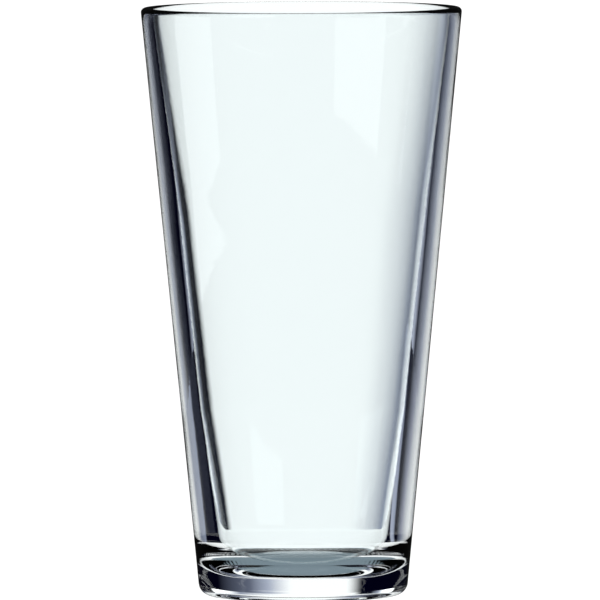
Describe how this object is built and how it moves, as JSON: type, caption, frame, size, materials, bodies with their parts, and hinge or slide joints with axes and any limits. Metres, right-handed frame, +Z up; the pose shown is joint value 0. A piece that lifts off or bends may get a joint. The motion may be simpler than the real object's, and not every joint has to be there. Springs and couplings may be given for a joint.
{
  "type": "pint glass",
  "caption": "Straight-sided tapered drinking glass in clear pressed glass, with a rounded lip, a thick wall and a heavy base with a shallow hollow underneath.",
  "frame": {"origin": "centre of the foot, on the surface that the glass stands on", "axes": "+Z up along the axis of the glass, from the foot to the mouth; X and Y are alike, because the glass is round"},
  "size_m": [0.0878, 0.0878, 0.161],
  "materials": {
    "glass": "fire-polished, clear, with a faint blue-green tint in the thick base"
  },
  "bodies": {
    "root": {"glass": "glass"}
  },
  "joints": []
}
